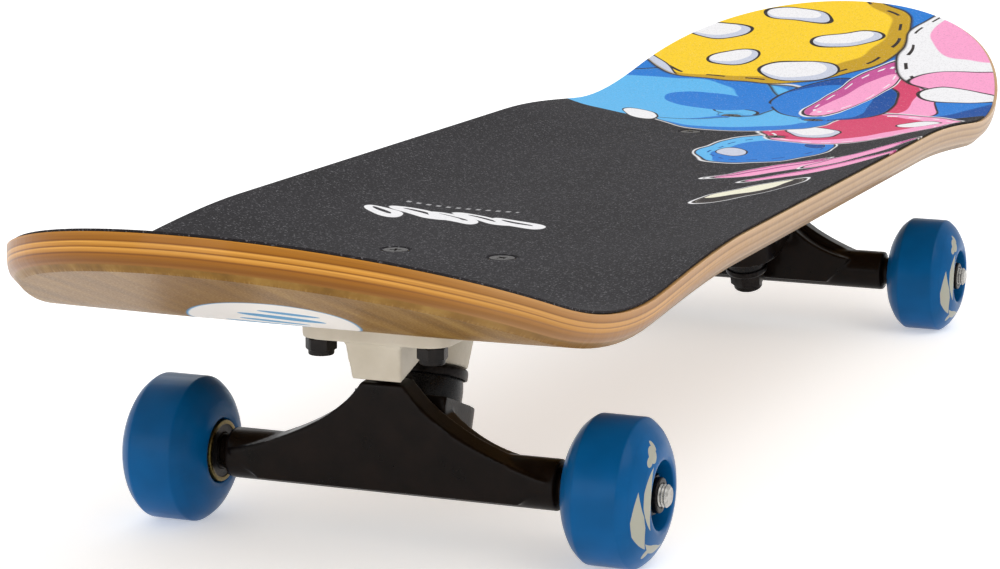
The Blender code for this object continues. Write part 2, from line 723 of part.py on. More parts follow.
def build_board():
    build_deck()
    build_deck_bolts()
    bushing_boardside, bushing_roadside = bushing_meshes()
    washer_boardside, washer_roadside = washer_meshes()
    meshes = {
        "baseplate": baseplate_mesh(),
        "pivot_cup": pivot_cup_mesh(),
        "hanger": hanger_mesh(),
        "kingpin": kingpin_mesh(),
        "kingpin_nut": lock_nut_mesh("kingpin_nut", 0.00825, KINGPIN_NUT_HEIGHT, KINGPIN_BORE),
        "bushing_boardside": bushing_boardside,
        "bushing_roadside": bushing_roadside,
        "washer_boardside": washer_boardside,
        "washer_roadside": washer_roadside,
        "axle": axle_mesh(),
        "wheel": wheel_mesh(),
        "bearing": bearing_mesh(),
        "bearing_spacer": spacer_mesh(),
        "axle_nut": lock_nut_mesh("axle_nut", 0.0075, AXLE_NUT_HEIGHT, AXLE_RADIUS + GAP),
    }
    for end, facing in (("rear", 1), ("front", -1)):
        build_truck(end, facing, meshes)


clear_scene()
PARTS = new_collection("skateboard")
CUTTERS = new_collection("cutters")
CUTTERS.hide_render = True
MATERIALS = {name: make_material(name) for name in COLOURS}
build_board()
bpy.context.view_layer.update()
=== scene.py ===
"""Looks of the skateboard: detailed pieces, procedural materials, camera and studio light."""

import math

import bmesh
import bpy
import numpy as np
from mathutils import Matrix, Vector
from mathutils.kdtree import KDTree


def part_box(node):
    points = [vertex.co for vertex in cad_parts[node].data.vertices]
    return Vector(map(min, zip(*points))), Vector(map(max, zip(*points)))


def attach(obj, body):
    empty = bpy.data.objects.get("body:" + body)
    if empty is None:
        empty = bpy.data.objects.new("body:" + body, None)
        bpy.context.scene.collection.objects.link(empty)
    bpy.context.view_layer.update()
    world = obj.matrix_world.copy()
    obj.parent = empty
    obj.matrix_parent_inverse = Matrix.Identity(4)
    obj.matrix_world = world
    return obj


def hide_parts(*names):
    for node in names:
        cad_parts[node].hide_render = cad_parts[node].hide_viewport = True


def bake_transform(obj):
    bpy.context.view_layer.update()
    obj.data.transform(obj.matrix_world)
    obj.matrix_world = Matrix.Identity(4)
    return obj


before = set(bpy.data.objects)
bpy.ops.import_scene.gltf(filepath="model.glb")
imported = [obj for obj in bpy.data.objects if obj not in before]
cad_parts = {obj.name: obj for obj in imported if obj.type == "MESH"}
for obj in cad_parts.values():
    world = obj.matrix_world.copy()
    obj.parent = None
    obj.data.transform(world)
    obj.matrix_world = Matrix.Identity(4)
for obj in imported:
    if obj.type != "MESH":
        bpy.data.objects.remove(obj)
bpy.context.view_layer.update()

# ---------------- shared dimensions (metres)
GAP = 0.0003                    # between pieces that would touch
WHEEL_RADIUS = 0.026
UNDERSIDE = 0.0560              # deck underside above the axle centres
DECK_THICKNESS = 0.0110
DECK_TOP = WHEEL_RADIUS + UNDERSIDE + DECK_THICKNESS
GRIP_THICKNESS = 0.0008
HALF_DECK_WIDTH = 0.1016
TAIL_LENGTH, NOSE_LENGTH = 0.3938, 0.3980      # over the curve, from the middle
KICK_START, KICK_RADIUS, KICK_ANGLE = 0.2300, 0.2300, math.radians(19.7)
CONCAVE_RISE, CONCAVE_HOLD, CONCAVE_END, FLAT_SHARE = 0.0106, 0.1370, 0.3120, 0.30
TAPER_START, TIP_POWER, TIP_SWEEP = 0.2110, 3.0, math.radians(88.6)
RIM_TUCK = 0.0015               # lean of the rim through the deck's thickness
RIM_CURL, CURL_START = 0.0046, 0.0036          # extra rounding of the rim's lower part
SCREW_RADIUS, SCREW_HOLE = 0.0024, 0.00275
HOLE_ROWS, HOLE_SIDES = (-0.0156, 0.0479), (-0.02065, 0.02065)
BASE_TOP = UNDERSIDE - GAP      # the truck's heights are above the axle, inboard is +X
BASE_BOTTOM = BASE_TOP - 0.0075
RING_CENTRE = Vector((0.0261, 0.0, 0.0136))
KINGPIN_LEAN, KINGPIN_RADIUS, KINGPIN_BORE = math.radians(20), 0.00475, 0.0051
KINGPIN_SEAT = -0.0150          # the nut's seat, along the kingpin from the ring's centre
PIVOT_CENTRE = Vector((-0.0070, 0.0, 0.0389))
PIVOT_LEAN, PIVOT_BALL = math.radians(-16), 0.0046
AXLE_RADIUS, AXLE_BORE = 0.0040, 0.0043
VOXEL = 0.0007                  # grain of the melted castings


def centre(node):
    low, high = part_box(node)
    return (Vector(low) + Vector(high)) / 2


ENDS = {"rear": 0.0, "front": math.pi}     # the turn that makes a truck's X point inboard
AXLE = {end: centre(f"{end}_axle") for end in ENDS}
MIDDLE_X = (AXLE["rear"].x + AXLE["front"].x) / 2


# ---------------- mesh helpers
def clean_mesh(bm, name, recalc=True):
    if recalc:
        bmesh.ops.recalc_face_normals(bm, faces=bm.faces)
    mesh = bpy.data.meshes.new(name)
    bm.to_mesh(mesh)
    bm.free()
    return mesh


def linked(name, data):
    """A new object in the scene."""
    obj = bpy.data.objects.new(name, data)
    bpy.context.scene.collection.objects.link(obj)
    return obj


def with_modifiers(mesh, *modifiers):
    """The mesh after a list of (type, settings) modifiers."""
    obj = linked("work", mesh)
    for kind, settings in modifiers:
        modifier = obj.modifiers.new(kind, kind)
        for key, value in settings.items():
            setattr(modifier, key, value)
    graph = bpy.context.evaluated_depsgraph_get()
    result = bpy.data.meshes.new_from_object(obj.evaluated_get(graph))
    bpy.data.objects.remove(obj)
    return result


def boolean(mesh, operation, *others):
    """The mesh with each of the others joined to it, cut from it or intersected with it."""
    helpers = [linked("other", other) for other in others]
    steps = [("BOOLEAN", {"operation": operation, "solver": "EXACT", "object": helper})
             for helper in helpers]
    result = with_modifiers(mesh, *steps)
    for helper in helpers:
        bpy.data.objects.remove(helper)
    return result


def smooth(mesh, angle=32):
    mesh.shade_smooth()
    mesh.set_sharp_from_angle(angle=math.radians(angle))
    return mesh


def rounded(corners, steps=3, closed=False):
    """Rounds the corners of an outline of (x, y, radius) points."""
    points = []
    count = len(corners)
    for i, (x, y, radius) in enumerate(corners):
        if radius == 0 or (not closed and i in (0, count - 1)):
            points.append((x, y))
            continue
        here = Vector((x, y))
        start = here + (Vector(corners[i - 1][:2]) - here).normalized() * radius
        end = here + (Vector(corners[(i + 1) % count][:2]) - here).normalized() * radius
        for step in range(steps + 1):
            t = step / steps
            points.append(tuple((1 - t) ** 2 * start + 2 * t * (1 - t) * here + t * t * end))
    return points


def lathe(name, profile, segments=64, closed=False, matrix=None, angle=32):
    """Turns a profile of (radius, height) points about Z."""
    bm = bmesh.new()
    turns = [2 * math.pi * i / segments for i in range(segments)]
    rings = []
    for radius, height in profile:
        if radius < 1e-7:
            rings.append([bm.verts.new((0, 0, height))] * segments)
        else:
            rings.append([bm.verts.new((radius * math.cos(t), radius * math.sin(t), height))
                          for t in turns])
    pairs = list(zip(rings, rings[1:]))
    if closed:
        pairs.append((rings[-1], rings[0]))
    for upper, lower in pairs:
        for i in range(segments):
            j = (i + 1) % segments
            corners = list(dict.fromkeys((upper[i], upper[j], lower[j], lower[i])))
            if len(corners) > 2:
                bm.faces.new(corners)
    mesh = clean_mesh(bm, name)
    if matrix is not None:
        mesh.transform(matrix)
    return smooth(mesh, angle)


def rod(name, radius, high, low, segments, matrix=None):
    """A solid cylinder about Z."""
    profile = [(0, high), (radius, high), (radius, low), (0, low)]
    return lathe(name, profile, segments, matrix=matrix)


def ring(name, corners, segments=64):
    """A closed ring about Z with rounded corners."""
    return lathe(name, rounded(corners, 4, closed=True), segments, closed=True)


def prism(name, points, low, high):
    """A flat outline in XY between two heights."""
    bm = bmesh.new()
    bottom = [bm.verts.new((x, y, low)) for x, y in points]
    top = [bm.verts.new((x, y, high)) for x, y in points]
    count = len(points)
    bm.faces.new(bottom)
    bm.faces.new(top)
    for i in range(count):
        j = (i + 1) % count
        bm.faces.new((bottom[i], bottom[j], top[j], top[i]))
    bmesh.ops.triangulate(bm, faces=[f for f in bm.faces if len(f.verts) > 4])
    return clean_mesh(bm, name)


def rectangle(left, right, half):
    return [(left, -half), (right, -half), (right, half), (left, half)]


def arc(x, y, radius, start, end, steps):
    """Points of an arc between two angles in degrees."""
    turns = [math.radians(start + (end - start) * i / steps) for i in range(steps + 1)]
    return [(x + radius * math.cos(t), y + radius * math.sin(t)) for t in turns]


def bow(start, control, end, steps):
    """Points of a curve with one control point."""
    points = []
    for i in range(steps + 1):
        t = i / steps
        points.append(tuple((1 - t) ** 2 * a + 2 * t * (1 - t) * b + t * t * c
                            for a, b, c in zip(start, control, end)))
    return points


def threads(radius, high, low, pitch, depth):
    """Profile points of a thread's crests and roots, from high to low."""
    points = []
    count = int((high - low) / pitch)
    for i in range(count):
        top = high - i * pitch
        points += [(radius - depth, top), (radius, top - pitch * 0.45),
                   (radius, top - pitch * 0.60)]
    points.append((radius - depth, high - count * pitch))
    return points


def leaning(where, lean):
    """A frame that leans inboard."""
    return Matrix.Translation(where) @ Matrix.Rotation(lean, 4, "Y")


ALONG_Y = Matrix.Rotation(math.radians(-90), 4, "X")
KINGPIN_FRAME = leaning(RING_CENTRE, KINGPIN_LEAN)
PIVOT_FRAME = leaning(PIVOT_CENTRE, PIVOT_LEAN)


# ---------------- shader helpers
def srgb(code):
    """The linear colour of a hexadecimal one."""
    values = [int(code[i:i + 2], 16) / 255 for i in (0, 2, 4)]
    linear = [v / 12.92 if v <= 0.04045 else ((v + 0.055) / 1.055) ** 2.4 for v in values]
    return (*linear, 1.0)


class Value:
    """A shader socket that ordinary arithmetic works on."""

    def __init__(self, graph, socket):
        self.graph = graph
        self.socket = socket

    def __add__(self, other):
        return self.graph.math("ADD", self, other)

    def __sub__(self, other):
        return self.graph.math("SUBTRACT", self, other)

    def __rsub__(self, other):
        return self.graph.math("SUBTRACT", other, self)

    def __mul__(self, other):
        return self.graph.math("MULTIPLY", self, other)

    def __truediv__(self, other):
        return self.graph.math("DIVIDE", self, other)


class Graph:
    """Builds a material's nodes."""

    def __init__(self, name, **constants):
        self.material = bpy.data.materials.new(name)
        self.material.use_nodes = True
        self.tree = self.material.node_tree
        self.shader = self.tree.nodes["Principled BSDF"]
        for key, value in constants.items():
            self.shader.inputs[key.replace("_", " ")].default_value = value

    def connect(self, node, key, value):
        """Feeds an input from a socket, a number, a vector or a hexadecimal colour."""
        if isinstance(value, Value):
            self.tree.links.new(value.socket, node.inputs[key])
        else:
            node.inputs[key].default_value = srgb(value) if isinstance(value, str) else value

    def node(self, kind, inputs=(), out=0, **settings):
        node = self.tree.nodes.new(kind)
        for key, value in settings.items():
            setattr(node, key, value)
        for key, value in dict(inputs).items():
            self.connect(node, key, value)
        return Value(self, node.outputs[out])

    def math(self, operation, *values):
        return self.node("ShaderNodeMath", enumerate(values), operation=operation)

    def place(self):
        """Coordinates in the piece's own space, in metres."""
        return self.node("ShaderNodeTexCoord", out="Object")

    def attribute(self, name):
        return self.node("ShaderNodeAttribute", out="Vector", attribute_name=name)

    def split(self, vector):
        node = self.tree.nodes.new("ShaderNodeSeparateXYZ")
        self.connect(node, 0, vector)
        return [Value(self, node.outputs[i]) for i in range(3)]

    def join(self, x, y, z):
        return self.node("ShaderNodeCombineXYZ", {0: x, 1: y, 2: z})

    def scaled(self, vector, scale):
        return self.node("ShaderNodeVectorMath", {0: vector, 1: scale}, operation="MULTIPLY")

    def noise(self, vector, scale, detail=3.0, out="Fac"):
        return self.node("ShaderNodeTexNoise", {"Vector": vector, "Scale": scale,
                                                "Detail": detail, "Roughness": 0.55}, out=out)

    def cells(self, vector, scale, out="Distance"):
        return self.node("ShaderNodeTexVoronoi", {"Vector": vector, "Scale": scale}, out=out)

    def span(self, value, low, high, to_low=0.0, to_high=1.0):
        """Maps a range to another and holds it there."""
        return self.node("ShaderNodeMapRange", {"Value": value, "From Min": low, "From Max": high,
                                                "To Min": to_low, "To Max": to_high})

    def mix(self, share, first, second):
        return self.node("ShaderNodeMix", {0: share, 6: first, 7: second}, out=2,
                         data_type="RGBA")

    def ramp(self, value, *stops):
        """Colours a value by (position, hexadecimal colour) stops."""
        result = self.node("ShaderNodeValToRGB", {0: value})
        ramp = result.socket.node.color_ramp
        while len(ramp.elements) < len(stops):
            ramp.elements.new(1.0)
        for element, (position, colour) in zip(ramp.elements, stops):
            element.position = position
            element.color = srgb(colour)
        return result

    def bump(self, height, distance):
        normal = self.node("ShaderNodeBump", {"Height": height, "Distance": distance,
                                              "Strength": 1.0})
        self.tree.links.new(normal.socket, self.shader.inputs["Normal"])

    def finish(self, colour, roughness):
        self.connect(self.shader, "Base Color", colour)
        self.connect(self.shader, "Roughness", roughness)
        return self.material


# ---------------- printed shapes
MM = 0.001
INK, WHITE = "332d2c", "f3f2f4"
EDGE = 0.012                    # softness of a printed edge, as a share of the shape


class Print:
    """Layers of flat coloured shapes in a plane, each over the ones before it, in millimetres."""

    def __init__(self, graph, x, y, colour, ink=INK):
        self.graph = graph
        self.point = graph.join(x, y, 0.0)
        self.colour = colour
        self.ink = ink

    def oval(self, x, y, rx, ry, turn=0.0):
        """Distance in an oval's own space, 1 on its outline, and the point in that space."""
        local = self.graph.node("ShaderNodeMapping", {
            "Vector": self.point, "Location": (x * MM, y * MM, 0),
            "Rotation": (0, 0, math.radians(turn)), "Scale": (rx * MM, ry * MM, 1)},
            vector_type="TEXTURE")
        length = self.graph.node("ShaderNodeVectorMath", {0: local}, out="Value",
                                 operation="LENGTH")
        return length, local

    def paint(self, mask, colour):
        """Paints where the mask is 1."""
        self.colour = self.graph.mix(mask, self.colour, colour)

    def inside(self, distance, limit=1.0):
        return self.graph.span(distance, limit + EDGE, limit - EDGE)

    def shape(self, x, y, rx, ry, turn, fill, line=0, halo=0, shade=None, stitch=None,
              within=None):
        """An oval: line is its outline's width and halo adds a white one round it, shade is
        (colour, x offset, y offset, share) and stitch is (colour, distance, count)."""
        graph = self.graph
        distance, local = self.oval(x, y, rx, ry, turn)
        width = line / math.sqrt(rx * ry)

        def clip(mask):
            return mask if within is None else mask * within

        if halo:
            self.paint(clip(self.inside(distance, 1 + 1.8 * width)), WHITE)
        if line:
            self.paint(clip(self.inside(distance, 1 + width)), self.ink)
        body = clip(self.inside(distance))
        self.paint(body, fill)
        if shade:
            colour, dx, dy, keep = shade
            offset, _ = self.oval(x + dx, y + dy, rx * keep, ry * keep, turn)
            self.paint(body * graph.span(offset, 0.99, 1.01), colour)
        if stitch:
            colour, at, count = stitch
            across, along, _ = graph.split(local)
            angle = graph.math("ARCTAN2", along, across)
            dash = graph.span(graph.math("SINE", angle * count), 0.05, 0.15)
            band = graph.span(graph.math("ABSOLUTE", distance - at), 0.55 * width, 0.40 * width)
            self.paint(clip(dash * band), colour)
        return body


# ---------------- materials
def make_maple():
    """Varnished plies: face veneer below, layered edges round the rim, a plain oval badge."""
    graph = Graph("maple_plies", Coat_Roughness=0.14, Specular_IOR_Level=0.10)
    along, across, depth = graph.split(graph.attribute("board"))

    def grain(x, y, z, detail):
        """Noise with its own scale along the board, across it and through it."""
        return graph.noise(graph.join(along * x, across * y, depth * z), 1.0, detail)

    # Straight grain: long soft streaks, fine pores and flecks
    streaks, fine = grain(9.0, 160.0, 160.0, 4.0), grain(60.0, 1500.0, 900.0, 3.0)
    flecks = grain(900.0, 1400.0, 0.0, 1.0)
    face = graph.ramp(streaks, (0.25, "6b4a18"), (0.5, "7e5a22"), (0.75, "926f34"))
    below_rim = graph.span(depth, -DECK_THICKNESS + 0.0008, -DECK_THICKNESS + 0.0002)
    face = graph.mix(graph.span(fine, 0.45, 0.75, 0.0, 0.35) * below_rim, face, "5c3c12")
    face = graph.mix(graph.span(flecks, 0.50, 0.80, 0.0, 0.40) * below_rim, face, "b8965a")
    # Seven plies through the thickness, their joints slightly wavy
    level = depth / -DECK_THICKNESS + (grain(12.0, 12.0, 0.0, 2.0) - 0.5) * 0.03
    edge = graph.ramp(
        level, (0.0, "bd7f2b"), (0.06, "a86e24"), (0.20, "9a6015"), (0.235, "784610"),
        (0.27, "e0a148"), (0.37, "bd7f2b"), (0.40, "784610"), (0.43, "e0a148"),
        (0.52, "bd7f2b"), (0.56, "784610"), (0.60, "9a6015"), (0.68, "8c5814"),
        (0.76, "7c4a0e"), (0.81, "8a5a20"))
    fibres = grain(25.0, 25.0, 2600.0, 3.0)
    edge = graph.mix(graph.span(fibres, 0.35, 0.75, 0.0, 0.40), edge, "6f4212")
    # The side rails are paler than the tips, where the cross plies show their ends
    rail = graph.ramp(
        level, (0.0, "cba678"), (0.12, "b88f5f"), (0.24, "8f6a3e"), (0.30, "b48d5d"),
        (0.42, "a57d4c"), (0.50, "85602f"), (0.56, "b08859"), (0.70, "8b6637"),
        (0.80, "a98355"), (1.0, "b8935f"))
    rail = graph.mix(graph.span(fibres, 0.35, 0.75, 0.0, 0.30), rail, "8d6a3d")
    far = graph.span(along, -0.32, -0.10)
    tip = graph.span(along, -0.335, -0.375)
    rim = graph.mix(graph.math("MAXIMUM", far, (1.0 - tip) * 0.35), edge, rail)
    # The lowest ply is the face veneer, and the rounded rim shows its edge
    colour = graph.mix(graph.span(depth, -0.0090, -0.0093), rim, face)
    blue, paper, turn = "3d8dbb", "e6e1db", 35
    badge = Print(graph, along, across, colour, blue)
    facing = graph.split(graph.node("ShaderNodeNewGeometry", out="Normal"))[2]
    below = graph.span(facing, -0.5, -0.7)
    badge.shape(-302, 7, 50, 28, turn, paper, 0.9, within=below)
    lean = math.radians(turn)
    for reach, size in ((-30, 0.7), (-17, 1.0), (-3, 0.8), (11, 1.0), (26, 0.75)):
        badge.shape(-302 + reach * math.cos(lean), 7 + reach * math.sin(lean),
                    4.2 * size, 15 * size, 15, blue, within=below)
    # The varnish is thicker on the rim than on the face
    graph.connect(graph.shader, "Coat Weight", graph.span(depth, -0.0088, -0.0100, 0.22, 0.03))
    graph.bump(fine * 0.5 + streaks * 0.5, 0.00006)
    return graph.finish(badge.colour, graph.span(flecks, 0.3, 0.8, 0.42, 0.30))


def grip_print(art):
    """Overlapping bubbles and bands in flat colours, over the nose half of the sheet."""
    sky, blue, navy, silver, cream = "62baf0", "2b7fd6", "17509f", "cdd2e2", "f4f0d8"
    pink, magenta, rose, blush = "fba6cf", "c9589a", "d9486f", "fbc0dc"
    leaf = (pink, 1, 1, (magenta, -6, 2, 0.95))
    bead = (WHITE, 1.4, 0, (silver, 2, 3, 0.86))
    # Rows: centre x and y, half length and width, turn, fill, line, halo, shade, stitch
    for row in (
            # A blue ground behind the bubbles of the kick
            (335, -20, 105, 125, 0, blue, 0, 0, (navy, -10, 20, 0.90)),
            (278, -48, 42, 24, 10, rose, 1.4, 0, (pink, 4, 10, 0.86)),
            # Cream and pink leaves nearest the middle of the board
            (-4, -60, 30, 10, -28, cream, 1.4, 1, (INK, 8, 3, 0.86)),
            (66, -47, 34, 5, -30, *leaf),
            (72, -58, 42, 5.8, -38, *leaf),
            (58, -78, 40, 7, -44, *leaf),
            (94, -80, 34, 8, -30, *leaf),
            # Blue bubble, rose band and the blue field
            (130, -28, 48, 27.5, -6, blue, 1.4, 1, (sky, -8, -6, 0.90), (navy, 0.80, 16)),
            (118, -16, 12.5, 6, 20, silver, 1),
            (145, -45, 10, 5, 10, navy, 0.8),
            (204, -52, 52, 43, -8, rose, 1.4, 1, (pink, 6, 12, 0.88), (WHITE, 0.93, 22)),
            (190, -36, 18, 13, 30, WHITE, 1.4, 0, (silver, 4, 3, 0.85)),
            (222, -75, 14, 8, 10, WHITE, 1.2),
            (236, 12, 56, 44, 12, sky, 1.4, 1, (blue, 6, 10, 0.92)),
            (258, 62, 50, 58, 0, sky, 1.4, 0, (blue, -10, 12, 0.94)),
            (270, -22, 33, 30, 0, blue, 1.4, 0, (navy, -4, 6, 0.88)),
            (214, 60, 17, 7, 40, WHITE, 1.1),
            (244, 22, 6, 13, -20, sky, 1.2),
            (262, 36, 14, 30, -8, blue)):
        art.shape(*row)
    # Yellow bubble with a silver band inside it, a ribbon of white beads, and its neighbours
    body = art.shape(352, 34, 59, 72, 0, "fdd22c", 1.8, 0, ("c9a024", 4, 10, 0.96),
                     (INK, 0.93, 18))
    art.shape(304, 86, 28, 10.5, 42, silver, 1.4, within=body)
    for row in (
            (356, 62, 8.5, 17, 10, *bead),
            (376, 26, 7.5, 19, -14, *bead),
            (350, -6, 8, 17, 14, *bead),
            (324, 46, 8.5, 11.5, 6, WHITE, 1.4, 0, (silver, 2, 3, 0.84)),
            (312, 8, 13, 19.5, 4, WHITE, 1.4, 0, (silver, 3, 4, 0.86)),
            (288, -30, 44, 10.5, -17, pink, 1.4, 1, (magenta, -12, -2, 0.92),
             (WHITE, 0.80, 14)),
            (348, -88, 64, 50, 0, WHITE, 1.8, 0, None, (INK, 0.93, 20)),
            (364, -84, 35, 33, 0, pink, 0, 0, (blush, -6, 6, 0.92)),
            (306, -88, 14, 37, 0, pink, 1.2),
            (290, -80, 9.5, 22, 0, WHITE, 1.4),
            (356, -92, 5, 11, 24, magenta)):
        art.shape(*row)


def grip_marks(art, graph, along, across):
    """A plain white flourish and a row of short dashes behind the tail's bolts."""
    for cx, cy, rx, ry, turn in (
            (-101, 3, 16, 6.2, 50), (-98, 17, 17.5, 5.4, 60), (-102, 29, 13, 5.6, 46),
            (-98, 41, 16.5, 5.6, 58), (-102, 54, 11, 5, 44)):
        outer, _ = art.oval(cx, cy, rx, ry, turn)
        inner, _ = art.oval(cx + 1.8, cy + 1, rx * 0.58, ry * 0.24, turn)
        art.paint(graph.span(outer, 1.02, 0.98) * graph.span(inner, 0.97, 1.03), WHITE)
    row = graph.span(graph.math("ABSOLUTE", along + 0.078), 0.0014, 0.0010)
    length = graph.span(graph.math("ABSOLUTE", across - 0.034), 0.0250, 0.0245)
    dashes = graph.span(graph.math("SINE", across * 1500.0), 0.1, 0.3)
    art.paint(row * length * dashes * 0.45, WHITE)


def make_grip():
    """Abrasive sheet: packed grit with painted glints on its brightest grains, and a print that
    the grit breaks up.
    """
    graph = Graph("grip_sheet", Specular_IOR_Level=0.25)
    place = graph.attribute("board")
    along, across, _ = graph.split(place)
    grit = graph.cells(place, 1500.0)
    facet, second, _ = graph.split(graph.cells(place, 1900.0, out="Color"))
    coarse = graph.noise(place, 260.0, 3.0)
    cloud = graph.noise(place, 14.0, 2.0)
    base = graph.mix(graph.span(cloud, 0.3, 0.7), "252326", "2d2b2f")
    base = graph.mix(graph.span(facet, 0.0, 1.0, 0.0, 0.50), base, "151416")
    # Painted glints: the brightest grains are lightened to stand in for light caught by their
    # facets
    base = graph.mix(graph.span(facet, 0.80, 0.99, 0.0, 0.22), base, "6d6b74")
    # The print's outlines waver a little
    wobble = graph.noise(graph.join(along, across, 0.0), 26.0, 1.0, out="Color")
    wx, wy, _ = graph.split(wobble)
    art = Print(graph, along + (wx - 0.5) * 0.016, across + (wy - 0.5) * 0.016, base)
    grip_print(art)
    grip_marks(art, graph, along, across)
    # The grit shows through the print as fine darker grains, and paler points are painted glints
    # standing in for light off the grain facets
    colour = graph.mix(graph.span(second, 0.0, 0.35, 0.16, 0.0), art.colour, INK)
    colour = graph.mix(graph.span(facet, 0.92, 1.0, 0.0, 0.10), colour, WHITE)
    graph.bump(grit * 0.7 + coarse * 0.3, 0.00014)
    return graph.finish(colour, graph.span(facet, 0.7, 1.0, 0.92, 0.70))


def make_powder_coat():
    """Off-white powder paint with a fine orange peel and darker flecks."""
    graph = Graph("off_white_coat", IOR=1.5, Coat_Weight=0.10, Coat_Roughness=0.35)
    place = graph.place()
    tone = graph.noise(place, 60.0, 3.0)
    peel = graph.noise(place, 900.0, 2.0)
    fleck = graph.cells(place, 700.0)
    colour = graph.mix(graph.span(tone, 0.3, 0.7), "bfb5a2", "cdc4b3")
    colour = graph.mix(graph.span(fleck, 0.0, 0.30, 0.20, 0.0), colour, "b9b0a6")
    graph.bump(peel, 0.00010)
    return graph.finish(colour, graph.span(peel, 0.3, 0.7, 0.52, 0.40))


def make_black_coat():
    """Glossy dipped paint over a casting, with slow waves under the gloss."""
    graph = Graph("black_gloss_coat", Specular_IOR_Level=0.07, Coat_Weight=0.08,
                  Coat_Roughness=0.10)
    place = graph.place()
    wave = graph.noise(place, 90.0, 3.0)
    peel = graph.noise(place, 1100.0, 2.0)
    dust = graph.cells(place, 900.0)
    colour = graph.mix(graph.span(wave, 0.3, 0.7), "0c0806", "170f0b")
    colour = graph.mix(graph.span(dust, 0.0, 0.10, 0.25, 0.0), colour, "3a2c28")
    graph.bump(wave * 0.75 + peel * 0.25, 0.00016)
    return graph.finish(colour, graph.span(wave, 0.3, 0.7, 0.26, 0.36))


def make_wheel():
    """Cast urethane with a printed outer face, drawn in the wheel's own space (axis along Y)."""
    graph = Graph("blue_urethane", Specular_IOR_Level=0.09, Subsurface_Weight=0.06,
                  Subsurface_Scale=0.002, Coat_Weight=0.05, Coat_Roughness=0.12)
    place = graph.place()
    x, y, z = graph.split(place)
    cloud = graph.noise(place, 45.0, 2.0)
    scuff = graph.noise(graph.scaled(place, (400.0, 40.0, 400.0)), 1.0, 3.0)
    speck = graph.cells(place, 420.0)
    colour = graph.mix(graph.span(cloud, 0.3, 0.7), "004a7c", "005790")
    colour = graph.mix(graph.span(scuff, 0.55, 0.80, 0.0, 0.10), colour, "14689f")
    colour = graph.mix(graph.span(speck, 0.0, 0.05, 0.18, 0.0), colour, "3f86b8")
    outer = graph.span(y, 0.0078, 0.0084)
    art = Print(graph, x, z, colour)
    beige = "a5a496"

    # Strokes between the hub and the tread: centre, radius, width and angles of part of a ring
    for cx, cz, radius, width, start, end in (
            (0, 0, 15.2, 2.1, -38, 52), (0, 0, 19.8, 2.7, -54, 16), (2, -1, 16.8, 1.5, -104, -50),
            (0, 0, 17.8, 2.0, 140, 208)):
        distance, local = art.oval(cx, cz, radius, radius)
        across, along, _ = graph.split(local)
        angle = graph.math("ARCTAN2", along, across)
        middle, half = math.radians((start + end) / 2), math.radians((end - start) / 2)
        turn = graph.math("WRAP", angle - middle, math.pi, -math.pi)
        taper = graph.span(graph.math("ABSOLUTE", turn), half, half * 0.2, 0.0, width / radius)
        band = graph.math("LESS_THAN", graph.math("ABSOLUTE", distance - 1.0), taper)
        art.paint(band * outer, beige)
    for dot in ((9.6, -18, 1.4, 2.0, 30), (8.0, 15.8, 2.2, 3.0, 30), (5.8, 18.4, 1.0, 1.8, -20),
                (10.8, 14, 1.2, 2.2, 50)):
        art.shape(*dot, beige, within=outer)
    graph.bump(scuff * 0.5 + cloud * 0.5, 0.00008)
    return graph.finish(art.colour, graph.span(scuff, 0.3, 0.8, 0.28, 0.36))


def make_metal(name, dark, light, roughness):
    """Plated or blackened steel with fine marks and a slow change of tone."""
    graph = Graph(name, Metallic=1.0)
    place = graph.place()
    tone = graph.noise(place, 120.0, 3.0)
    marks = graph.noise(graph.scaled(place, (300.0, 300.0, 300.0)), 4.0, 4.0)
    colour = graph.mix(graph.span(tone * 0.5 + marks * 0.5, 0.35, 0.65), dark, light)
    graph.bump(marks, 0.00004)
    return graph.finish(colour, graph.span(marks, 0.3, 0.7, roughness - 0.08, roughness + 0.12))


def make_rubber(name, dark, light, roughness):
    """Rubber, plastic or blackened steel: dark, fine grained and not metallic."""
    graph = Graph(name, Specular_IOR_Level=0.20)
    place = graph.place()
    tone = graph.noise(place, 150.0, 3.0)
    grain = graph.noise(place, 1800.0, 2.0)
    colour = graph.mix(graph.span(tone, 0.3, 0.7), dark, light)
    graph.bump(grain, 0.00006)
    return graph.finish(colour, graph.span(grain, 0.3, 0.7, roughness - 0.06, roughness + 0.10))


MATERIAL = {
    "maple": make_maple(),
    "grip": make_grip(),
    "white_coat": make_powder_coat(),
    "black_coat": make_black_coat(),
    "urethane": make_wheel(),
    "steel": make_metal("plated_steel", "8c8a86", "c4c2bd", 0.30),
    "dark_steel": make_metal("blackened_steel", "141212", "322f2e", 0.36),
    "bolt_steel": make_metal("bolt_heads", "141212", "383332", 0.45),
    "bearing_steel": make_metal("bearing_ring", "51471f", "85744a", 0.32),
    "black_nut": make_rubber("black_oxide", "0c0908", "1b1512", 0.38),
    "spacer_alloy": make_metal("turned_alloy", "8f8f90", "bdbdbe", 0.30),
    "bushing": make_rubber("bushing_urethane", "0b0a0b", "161415", 0.26),
    "cup_rubber": make_rubber("cup_rubber", "121112", "1f1d1e", 0.50),
    "shield": make_rubber("bearing_shield", "100f10", "1d1b1c", 0.34),
}


# ---------------- pieces
def piece(name, mesh, body, slot, nodes=(), matrix=None, material=None):
    """A piece that rides on a body and stands for some CAD nodes."""
    obj = linked(name, mesh)
    if not mesh.materials:
        mesh.materials.append(MATERIAL[material or slot])
    if matrix is not None:
        obj.matrix_world = matrix
    bpy.context.view_layer.update()
    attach(obj, body)
    if nodes:
        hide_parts(*nodes)


